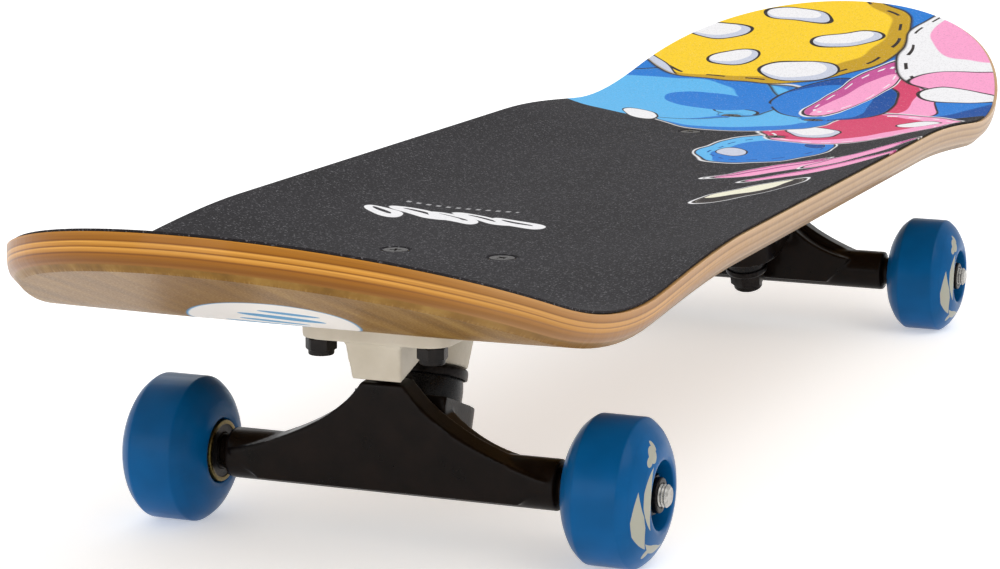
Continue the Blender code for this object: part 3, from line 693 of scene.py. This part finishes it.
# ---------------- deck and grip
def pressed(s, y, lift):
    """Where pressing takes a point of the flat deck blank."""
    depth = max(0.0, -lift)
    curl = min(1.0, max(0.0, (depth - CURL_START) / (DECK_THICKNESS - CURL_START)))
    tuck = RIM_TUCK * depth / DECK_THICKNESS + RIM_CURL * (1 - math.sqrt(1 - 0.98 * curl * curl))
    s *= 1 - tuck / NOSE_LENGTH
    y *= 1 - tuck / HALF_DECK_WIDTH
    past = max(0.0, abs(s) - KICK_START)
    angle = min(KICK_ANGLE, past / KICK_RADIUS)
    straight = max(0.0, past - KICK_RADIUS * KICK_ANGLE)
    x = min(abs(s), KICK_START) + KICK_RADIUS * math.sin(angle) + straight * math.cos(angle)
    z = KICK_RADIUS * (1 - math.cos(angle)) + straight * math.sin(angle)
    side = -1 if s < 0 else 1
    fade = min(1.0, max(0.0, (abs(s) - CONCAVE_HOLD) / (CONCAVE_END - CONCAVE_HOLD)))
    height = CONCAVE_RISE * (1 - fade * fade * (3 - 2 * fade))
    across = max(0.0, (abs(y) / HALF_DECK_WIDTH - FLAT_SHARE) / (1 - FLAT_SHARE))
    rise = height * across * across + lift
    return (MIDDLE_X + side * (x - math.sin(angle) * rise), y,
            DECK_TOP + z + math.cos(angle) * rise)


def blank(name, inset):
    """The flat outline, its stations closing up towards the tips."""
    stations, straight_stations, columns = 150, 46, 26
    straight_share = straight_stations / stations
    bm = bmesh.new()
    bmesh.ops.create_grid(bm, x_segments=stations, y_segments=columns, size=1.0)
    for vert in bm.verts:
        a, b = vert.co.x, vert.co.y
        if abs(a) <= straight_share + 1e-6:
            s = a / straight_share * TAPER_START
            half = HALF_DECK_WIDTH - inset
        else:
            sweep = TIP_SWEEP * (abs(a) - straight_share) / (1 - straight_share)
            reach = (TAIL_LENGTH if a < 0 else NOSE_LENGTH) - inset - TAPER_START
            s = math.copysign(TAPER_START + reach * math.sin(sweep) ** (2 / TIP_POWER), a)
            half = (HALF_DECK_WIDTH - inset) * math.cos(sweep)
        vert.co = (s, b * half, 0)
    return clean_mesh(bm, name, recalc=False)


def with_levels(mesh, depths):
    """Cuts level rows of edges into the upright faces of the rim."""
    bm = bmesh.new()
    bm.from_mesh(mesh)
    top = max(vert.co.z for vert in bm.verts)
    for depth in depths:
        bmesh.ops.bisect_plane(bm, geom=[*bm.verts, *bm.edges, *bm.faces], dist=1e-7,
                               plane_co=(0, 0, top - depth), plane_no=(0, 0, 1))
    return clean_mesh(bm, mesh.name, recalc=False)


def board_layer(name, inset, lift, thickness, rim, segments, cutters):
    """A layer of the board, with each point's place in the flat blank kept as an attribute."""
    layer = with_modifiers(
        blank(name, inset), ("SOLIDIFY", {"thickness": thickness, "offset": 1}),
        ("BEVEL", {"width": rim, "segments": segments, "limit_method": "ANGLE",
                   "angle_limit": math.radians(50)}))
    layer = with_levels(layer, (0.0032, 0.0046, 0.0058, 0.0068, 0.0077))
    flat = np.empty(len(layer.vertices) * 3)
    layer.vertices.foreach_get("co", flat)
    flat = flat.reshape(-1, 3)
    flat[:, 2] += lift
    for vert, point in zip(layer.vertices, flat):
        vert.co = pressed(*point)
    tree = KDTree(len(flat))
    for i, vert in enumerate(layer.vertices):
        tree.insert(vert.co, i)
    tree.balance()
    layer = boolean(layer, "DIFFERENCE", *cutters)
    layer.name = name
    # The drilled holes lie where the board runs straight, so their points are worked back there
    places = []
    for vert in layer.vertices:
        s, y = vert.co.x - MIDDLE_X, vert.co.y
        if abs(s) < KICK_START - 0.005:
            places += [s, y, vert.co.z - pressed(s, y, 0.0)[2]]
        else:
            places += list(flat[tree.find(vert.co)[1]])
    attribute = layer.attributes.new("board", "FLOAT_VECTOR", "POINT")
    attribute.data.foreach_set("vector", places)
    return smooth(layer, 40)


def bolt_centres():
    return {name: centre(name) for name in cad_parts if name.endswith("_deck_bolt")}


def build_board():
    low, high = DECK_TOP - DECK_THICKNESS - 0.002, DECK_TOP + 0.004
    for name, node, slot, inset, lift, thickness, rim, segments, mouth in (
            ("deck_maple", "deck", "maple", 0.0, -DECK_THICKNESS, DECK_THICKNESS, 0.0022, 4,
             0.0042),
            ("grip_sheet", "grip_tape", "grip", 0.0014, GAP, GRIP_THICKNESS, 0.00025, 1,
             0.0050)):
        sink = mouth + high - DECK_TOP      # the countersink's radius at the cutter's top
        profile = [(0, high), (sink, high), (SCREW_HOLE, high - sink + SCREW_HOLE),
                   (SCREW_HOLE, low), (0, low)]
        cutters = [lathe("cutter", profile, 24, matrix=Matrix.Translation((at.x, at.y, 0)))
                   for at in bolt_centres().values()]
        mesh = board_layer(name, inset, lift, thickness, rim, segments, cutters)
        piece(name, mesh, "board", slot, [node])


# ---------------- fasteners
def hexagon(across_corners, low, high):
    return prism("hexagon", arc(0, 0, across_corners / 2, 0, 300, 5), low, high)


def lock_nut(name, across_corners, height, bore):
    """A chamfered hexagon with a rolled collar on top, its seat at height 0."""
    radius = across_corners / 2
    seat = height * 0.70
    chamfer = lathe("chamfer", [(radius * share, at) for share, at in (
        (0, height), (0.84, height), (0.84, seat + 0.0001), (0.88, seat),
        (1.03, seat - radius * 0.09), (1.03, radius * 0.09), (0.88, 0), (0, 0))], 48)
    body = boolean(hexagon(across_corners, 0, seat), "INTERSECT", chamfer)
    collar = lathe("collar", rounded([
        (radius * 0.82, seat - 0.0006, 0), (radius * 0.82, height, 0.0007),
        (radius * 0.60, height, 0.0001), (radius * 0.58, height - 0.0003, 0.0001),
        (bore, height - 0.0003, 0), (bore, seat - 0.0006, 0)], 4), 48, closed=True)
    body = boolean(body, "DIFFERENCE", rod("hole", bore, height * 2, -height, 32))
    body = with_modifiers(body, ("BEVEL", {"width": 0.00018, "segments": 2,
                                           "limit_method": "ANGLE",
                                           "angle_limit": math.radians(28)}))
    whole = boolean(body, "UNION", collar)
    whole.name = name
    return smooth(whole, 30)


def bolt_mesh():
    """A countersunk machine screw with a cross recess and a threaded shank."""
    head_top = UNDERSIDE + DECK_THICKNESS + GAP + GRIP_THICKNESS - 0.0002
    end = BASE_BOTTOM - GAP - 0.0060 - 0.0002
    profile = rounded([
        (0, head_top, 0), (0.0046, head_top, 0.0002), (0.0047, head_top - 0.0003, 0.0001),
        (SCREW_RADIUS, head_top - 0.0026, 0.0002), (SCREW_RADIUS, BASE_BOTTOM - 0.0010, 0)], 2)
    profile += threads(SCREW_RADIUS, BASE_BOTTOM - 0.0012, end + 0.0004, 0.0008, 0.0003)
    profile += [(0.0017, end), (0, end)]
    bolt = lathe("deck_bolt", profile, 32)
    slots = []
    for turn in (0, math.pi / 2):
        bm = bmesh.new()
        bmesh.ops.create_cube(bm, size=1.0)
        for vert in bm.verts:
            wide, height = (0.0026, 0.0006) if vert.co.z > 0 else (0.0010, -0.0020)
            vert.co = (math.copysign(wide, vert.co.x), math.copysign(0.00045, vert.co.y),
                       head_top + height)
        bmesh.ops.rotate(bm, verts=bm.verts, matrix=Matrix.Rotation(turn, 3, "Z"))
        slots.append(clean_mesh(bm, "slot"))
    return smooth(boolean(bolt, "DIFFERENCE", *slots), 30)


def build_fasteners():
    bolt = bolt_mesh()
    nut = lock_nut("lock_nut_detail", 0.0110, 0.0060, 0.00255)
    for name, at in bolt_centres().items():
        place = name[:-len("_deck_bolt")]
        turn = Matrix.Rotation(math.radians(37 * len(place)), 4, "Z")
        piece(f"{place}_screw", bolt, "board", "dark_steel", [name],
              Matrix.Translation((at.x, at.y, WHEEL_RADIUS)) @ turn, "bolt_steel")
        seat = Matrix.Translation((at.x, at.y, WHEEL_RADIUS + BASE_BOTTOM - GAP))
        piece(f"{place}_nut", nut, "board", "black_nut", [f"{place}_lock_nut"],
              seat @ Matrix.Rotation(math.pi, 4, "X") @ turn)


# ---------------- trucks
def cast(name, passes, *solids):
    """Melts solids into one casting with soft fillets and rounded edges."""
    bm = bmesh.new()
    for solid in solids:
        bm.from_mesh(solid)
    mesh = with_modifiers(clean_mesh(bm, name, recalc=False),
                          ("REMESH", {"mode": "VOXEL", "voxel_size": VOXEL}),
                          ("SMOOTH", {"factor": 0.5, "iterations": passes}))
    mesh.name = name
    return mesh


def tapered_block(low, high, top_z, bottom_z, top_half, bottom_half, slope):
    """A block whose bottom is narrower and rises inboard."""
    bm = bmesh.new()
    bmesh.ops.create_cube(bm, size=1.0)
    for vert in bm.verts:
        inboard = vert.co.x > 0
        side = math.copysign(1, vert.co.y)
        if vert.co.z > 0:
            vert.co = (high[0] if inboard else low[0], side * top_half, top_z)
        else:
            x = high[1] if inboard else low[1]
            vert.co = (x, side * bottom_half, bottom_z + (x - low[1]) * slope)
    return clean_mesh(bm, "block")


def baseplate():
    """A flange with round corners, the pivot's block, the kingpin's boss and a spine between."""
    corner = 0.0080
    y = 0.0275 - corner
    left, right = -0.0225 + corner, 0.0550 - corner
    outline = [*arc(right, y, corner, 0, 90, 8), *arc(left, y, corner, 90, 180, 8),
               *arc(left, -y, corner, 180, 270, 8), *arc(right, -y, corner, 270, 360, 8)]
    flange = prism("flange", outline, BASE_BOTTOM, BASE_TOP)
    pivot = tapered_block((-0.0208, -0.0158), (0.0070, 0.0022), BASE_TOP - 0.002, 0.0340, 0.0112,
                          0.0092, math.tan(-PIVOT_LEAN))
    boss = lathe("boss", [(0, 0.0420), (0.0148, 0.0420), (0.0131, 0.0178), (0, 0.0178)], 48,
                 matrix=KINGPIN_FRAME)
    above = prism("above", rectangle(-0.05, 0.1, 0.05), BASE_TOP - 0.0005, 0.09)
    boss = boolean(boss, "DIFFERENCE", above)
    spine = prism("spine", rectangle(-0.004, 0.030, 0.0072), 0.0428, BASE_TOP - 0.003)
    plate = cast("baseplate_casting", 9, flange, pivot, boss, spine)
    head_seat = 0.0362
    cuts = [
        rod("pocket", 0.0073, 0.0074, -0.012, 40, PIVOT_FRAME),
        lathe("bore", [(0, 0.060), (0.0080, 0.060), (0.0080, head_seat),
                       (KINGPIN_BORE, head_seat), (KINGPIN_BORE, 0.010), (0, 0.010)], 40,
              matrix=KINGPIN_FRAME),
        *(rod("hole", SCREW_HOLE, 0.07, 0.04, 24, Matrix.Translation((row, side, 0)))
          for row in HOLE_ROWS for side in HOLE_SIDES)]
    return smooth(boolean(plate, "DIFFERENCE", *cuts), 40)


def web(foot, crown, control, low, high, lean):
    """A web with hollow sides, standing across the board on the axle tube."""
    bottom = -0.0060
    side = bow(foot, control, crown, 16)
    toe = foot[0] - 0.0110         # the foot's end slants back to the tube
    points = [(toe, bottom), *side, *[(-y, z) for y, z in reversed(side)], (-toe, bottom)]
    mesh = prism("web", points, low, high)
    upright = Matrix(((0, 0, 1, 0), (1, 0, 0, 0), (0, 1, 0, 0), (0, 0, 0, 1)))
    mesh.transform(Matrix.Rotation(lean, 4, "Y") @ upright)
    return mesh


def hanger():
    """An axle tube with two webs, the ring round the kingpin and the pivot's stem."""
    tube = rod("tube", 0.0090, 0.0622, -0.0622, 64, ALONG_Y)
    shoulders = rod("shoulders", 0.0062, 0.0653, -0.0653, 48, ALONG_Y)
    front = web((0.0600, 0.0036), (0.0079, 0.0330), (0.0199, 0.0147), -0.0092, 0.0010,
                math.radians(-4.5))
    rear = web((0.0470, 0.0062), (0.0172, 0.0205), (0.0300, 0.0085), -0.0020, 0.0100, 0.0)
    ring_radius, reach = 0.0175, -0.0245
    yoke = prism("yoke", [*arc(0, 0, ring_radius, -90, 90, 28), (reach, ring_radius),
                          (reach, -ring_radius)], -0.0045, 0.0045)
    yoke.transform(KINGPIN_FRAME)
    neck = 0.0039
    end = math.degrees(math.asin(-math.sqrt(PIVOT_BALL ** 2 - neck ** 2) / PIVOT_BALL))
    stem = lathe("stem", [(0, PIVOT_BALL), *arc(0, 0, PIVOT_BALL, 90, end, 12)[1:],
                          (0.0040, -0.0110), (0, -0.0110)], 32, matrix=PIVOT_FRAME)
    body = cast("hanger_casting", 5, tube, shoulders, front, rear, yoke, stem)
    cuts = [rod("ring_hole", 0.0066, 0.02, -0.02, 40, KINGPIN_FRAME),
            rod("axle_bore", AXLE_BORE, 0.08, -0.08, 32, ALONG_Y)]
    return smooth(boolean(body, "DIFFERENCE", *cuts), 40)


def kingpin():
    end = KINGPIN_SEAT - GAP - 0.0085 - 0.0012
    profile = rounded([
        (0, 0.0412, 0), (0.0070, 0.0412, 0.0006), (0.0075, 0.0404, 0.0004),
        (0.0075, 0.0365, 0.0002), (KINGPIN_RADIUS, 0.0365, 0.0002),
        (KINGPIN_RADIUS, -0.014, 0)], 2)
    profile += threads(KINGPIN_RADIUS, -0.0142, end + 0.0006, 0.0010, 0.0005)
    profile += [(0.0036, end), (0, end)]
    pin = lathe("kingpin_detail", profile, 48)
    return smooth(boolean(pin, "DIFFERENCE", hexagon(0.0070, 0.0385, 0.045)), 30)


# Corners of the rings as (radius, height, rounding): along the kingpin from its ring's centre,
# or along the axle from the ring's own middle
RINGS = {
    "bushing_boardside": [
        (0.0117, 0.0159, 0.0012), (0.0124, 0.0120, 0.002), (0.0127, 0.0080, 0.002),
        (0.0125, 0.0048, 0.0010), (0.0051, 0.0048, 0.0004), (0.0051, 0.0159, 0.0004)],
    "bushing_roadside": [
        (0.0096, -0.0048, 0.0008), (0.0097, -0.0085, 0.002), (0.0090, -0.0134, 0.0010),
        (0.0051, -0.0134, 0.0003), (0.0051, -0.0048, 0.0003)],
    "washer_boardside": [
        (0.0136, 0.0176, 0.0018), (0.0136, 0.0135, 0.0003), (0.0129, 0.0135, 0.0003),
        (0.0129, 0.0162, 0.0009), (0.0051, 0.0162, 0.0001), (0.0051, 0.0176, 0.0001)],
    "washer_roadside": [
        (0.0100, -0.0119, 0.0002), (0.0100, -0.0150, 0.0014), (0.0051, -0.0150, 0.0001),
        (0.0051, -0.0137, 0.0001), (0.0094, -0.0137, 0.0008), (0.0094, -0.0119, 0.0002)],
    "bearing_inner": [
        (0.0063, 0.0035, 0.0003), (0.0063, -0.0035, 0.0003), (0.0043, -0.0035, 0.0003),
        (0.0043, 0.0035, 0.0003)],
    "speed_washer": [
        (0.0060, 0.0003, 0.0001), (0.0060, -0.0003, 0.0001), (0.0043, -0.0003, 0.0001),
        (0.0043, 0.0003, 0.0001)],
}
# How far along the kingpin each bushing's fixed end and its end on the hanger lie
BUSHING_ENDS = {"boardside": (0.0159, 0.0048), "roadside": (-0.0134, -0.0048)}


def pivot_cup():
    inside = arc(0, 0, 0.0052, 0, 90, 10)
    profile = [(0, 0.0071), *rounded([(0, 0.0071, 0), (0.0070, 0.0071, 0.0010),
                                      (0.0070, -0.0020, 0.0005), (0.0057, -0.0020, 0.0004),
                                      (0.0052, 0.0, 0)], 3)[1:], *inside[1:-1], (0, 0.0052)]
    return lathe("pivot_cup_detail", profile, 48, matrix=PIVOT_FRAME)


def axle():
    end = 0.1010
    half = [(0, end), (0.0030, end), *threads(AXLE_RADIUS, end - 0.0005, 0.0880, 0.0011, 0.00045),
            (AXLE_RADIUS, 0.0876)]
    mirrored = [(r, -z) for r, z in reversed(half)]
    return lathe("axle_detail", half + mirrored, 40, matrix=ALONG_Y)


# ---------------- wheels
def wheel():
    """A cast wheel along +Y: flat tread, domed sides, deep hub with a raised lip."""
    side = [(0.0132, 0.0160, 0.0006), (0.0160, 0.0155, 0.0020), (0.0206, 0.0134, 0.0034),
            (0.0244, 0.0103, 0.0024), (WHEEL_RADIUS, 0.0078, 0.0006)]
    profile = rounded([
        (0.0120, 0.0156, 0.0004), *side, *[(r, -z, curve) for r, z, curve in reversed(side)],
        (0.0118, -0.0158, 0.0004), (0.0113, -0.0150, 0.0003), (0.0113, -0.0092, 0.0001),
        (0.0080, -0.0092, 0.0003), (0.0080, 0.0002, 0.0003), (0.0113, 0.0002, 0.0001),
        (0.0113, 0.0080, 0.0005)], 4, closed=True)
    return lathe("wheel_detail", profile, 112, closed=True, matrix=ALONG_Y, angle=25)


def bearing():
    """A bearing's outer ring with its pressed-in shield, about the bearing's centre."""
    outer = [(0.0110, 0.0035, 0.0004), (0.0110, -0.0035, 0.0004), (0.0095, -0.0035, 0.0001),
             (0.0094, -0.0031, 0.0001), (0.0070, -0.0029, 0.0003), (0.0066, -0.0032, 0.0001),
             (0.0066, 0.0032, 0.0001), (0.0070, 0.0029, 0.0003), (0.0094, 0.0031, 0.0001),
             (0.0095, 0.0035, 0.0001)]
    mesh = lathe("bearing_outer_detail", rounded(outer, 2, closed=True), 72, closed=True,
                 matrix=ALONG_Y)
    for key in ("bearing_steel", "shield"):
        mesh.materials.append(MATERIAL[key])
    for face in mesh.polygons:
        radius = math.hypot(face.center.x, face.center.z)
        face.material_index = 1 if radius < 0.00945 else 0
    return mesh


def build_truck(end, parts):
    base = Matrix.Translation(AXLE[end]) @ Matrix.Rotation(ENDS[end], 4, "Z")
    pin = base @ KINGPIN_FRAME
    steering = f"{end}_hanger"

    def fit(part, body, slot, matrix, kind="detail"):
        piece(f"{end}_{part}_{kind}", parts[part], body, slot, [f"{end}_{part}"], matrix)

    fit("baseplate", "board", "white_coat", base, "casting")
    fit("pivot_cup", "board", "cup_rubber", base)
    fit("kingpin", "board", "steel", pin)
    nut_seat = Matrix.Translation((0, 0, KINGPIN_SEAT - GAP)) @ Matrix.Rotation(math.pi, 4, "X")
    fit("kingpin_nut", "board", "dark_steel", pin @ nut_seat)
    for side, (far, near) in BUSHING_ENDS.items():
        fit(f"washer_{side}", "board", "dark_steel", pin)
        # Each bushing is placed on the kingpin as one rigid piece, not attached to a body
        mesh = parts[f"bushing_{side}"].copy()
        mesh.transform(pin)
        mesh.materials.append(MATERIAL["bushing"])
        bushing = linked(f"{end}_bushing_{side}_detail", mesh)
        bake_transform(bushing)
        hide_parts(f"{end}_bushing_{side}")
    fit("hanger", steering, "black_coat", base, "casting")
    fit("axle", steering, "steel", base)
    for side in ("left", "right"):
        build_wheel(f"{end}_{side}", steering, parts)


def build_wheel(name, steering, parts):
    """A wheel's pieces, its outer side away from the board's middle line."""
    where = centre(f"{name}_wheel")
    turn = 0 if where.y > 0 else math.pi
    hub = Matrix.Translation(where) @ Matrix.Rotation(turn, 4, "Z")

    def along(offset):
        return hub @ Matrix.Translation((0, offset, 0))

    body = f"{name}_wheel"
    piece(f"{name}_wheel_detail", parts["wheel"], body, "urethane", [body], hub)
    for kind, offset in (("inner", -0.0130), ("outer", 0.0040)):
        bearing_name = f"{name}_{kind}_bearing"
        piece(f"{bearing_name}_outer_ring", parts["bearing_outer"], body, "bearing_steel",
              [bearing_name], along(offset))
        piece(f"{bearing_name}_inner_ring", parts["bearing_inner"], steering, "dark_steel",
              matrix=along(offset))
    for kind, offset in (("inner", -0.01685), ("outer", 0.00790)):
        piece(f"{name}_{kind}_speed_washer", parts["speed_washer"], steering, "dark_steel",
              matrix=along(offset))
    piece(f"{name}_axle_nut_detail", parts["axle_nut"], steering, "dark_steel",
          [f"{name}_axle_nut"], along(0.0085) @ ALONG_Y)


def build_trucks():
    parts = {
        "baseplate": baseplate(), "hanger": hanger(), "pivot_cup": pivot_cup(),
        "kingpin": kingpin(), "axle": axle(), "wheel": wheel(), "bearing_outer": bearing(),
        "kingpin_nut": lock_nut("kingpin_nut_detail", 0.0165, 0.0085, 0.0050),
        "axle_nut": lock_nut("axle_nut_detail", 0.0150, 0.0070, 0.0042)}
    for key, corners in RINGS.items():
        parts[key] = ring(f"{key}_detail", corners, 40 if key == "speed_washer" else 64)
    for key in ("bearing_inner", "speed_washer"):
        parts[key].transform(ALONG_Y)
    for end in ENDS:
        build_truck(end, parts)


build_board()
build_fasteners()
build_trucks()
# The CAD nodes that stay: the spacers inside the hubs
for node_name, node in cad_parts.items():
    if node_name.endswith("_bearing_spacer"):
        for slot in node.material_slots:
            slot.material = MATERIAL["spacer_alloy"]


# ---------------- floor, light and camera
def floor():
    bm = bmesh.new()
    bmesh.ops.create_grid(bm, x_segments=2, y_segments=2, size=14.0)
    obj = linked("floor", clean_mesh(bm, "floor"))
    graph = Graph("pale_floor", Specular_IOR_Level=0.1, Emission_Color=(1, 1, 1, 1),
                  Emission_Strength=0.42)
    tone = graph.noise(graph.place(), 3.0, 2.0)
    colour = graph.mix(tone, (0.90, 0.90, 0.90, 1), (0.93, 0.93, 0.93, 1))
    obj.data.materials.append(graph.finish(colour, 0.9))


def area_light(name, location, target, size, power):
    light = bpy.data.lights.new(name, "AREA")
    light.shape = "RECTANGLE"
    light.size, light.size_y = size
    light.energy = power
    obj = linked(name, light)
    obj.location = location
    obj.rotation_euler = (Vector(target) - Vector(location)).to_track_quat("-Z", "Y").to_euler()


def camera():
    """The photograph's viewpoint: beyond the tail, to the right of the board and above it."""
    yaw, pitch, roll = 0.3497, -0.1873, 0.0108
    spot = Vector((MIDDLE_X - 1.1536, -0.4086, 0.2846))
    forward = Vector((math.cos(yaw) * math.cos(pitch), math.sin(yaw) * math.cos(pitch),
                      math.sin(pitch)))
    right = Vector((math.sin(yaw), -math.cos(yaw), 0))
    up = right.cross(forward)
    rolled_right = math.cos(roll) * right + math.sin(roll) * up
    rolled_up = math.cos(roll) * up - math.sin(roll) * right
    data = bpy.data.cameras.new("camera")
    data.sensor_width = 36.0
    data.lens = 108.50
    data.shift_x = -0.080
    data.clip_start, data.clip_end = 0.05, 60.0
    obj = linked("camera", data)
    axes = Matrix((rolled_right, rolled_up, -forward)).transposed()
    obj.matrix_world = Matrix.Translation(spot) @ axes.to_4x4()
    bpy.context.scene.camera = obj


floor()
world = bpy.data.worlds.new("studio")
world.use_nodes = True
background = world.node_tree.nodes["Background"].inputs
background["Color"].default_value = (1, 1, 1, 1)
background["Strength"].default_value = 0.75
bpy.context.scene.world = world
area_light("key", (-0.6, -1.2, 1.8), (0, 0, 0.05), size=(1.6, 1.6), power=14)
area_light("fill", (-2.2, 0.6, 0.5), (-0.2, 0, 0.08), size=(1.4, 0.8), power=5)
area_light("back", (1.6, 1.0, 1.4), (0, 0, 0.05), size=(1.6, 1.2), power=8)
camera()
bpy.context.scene.view_settings.view_transform = "Standard"
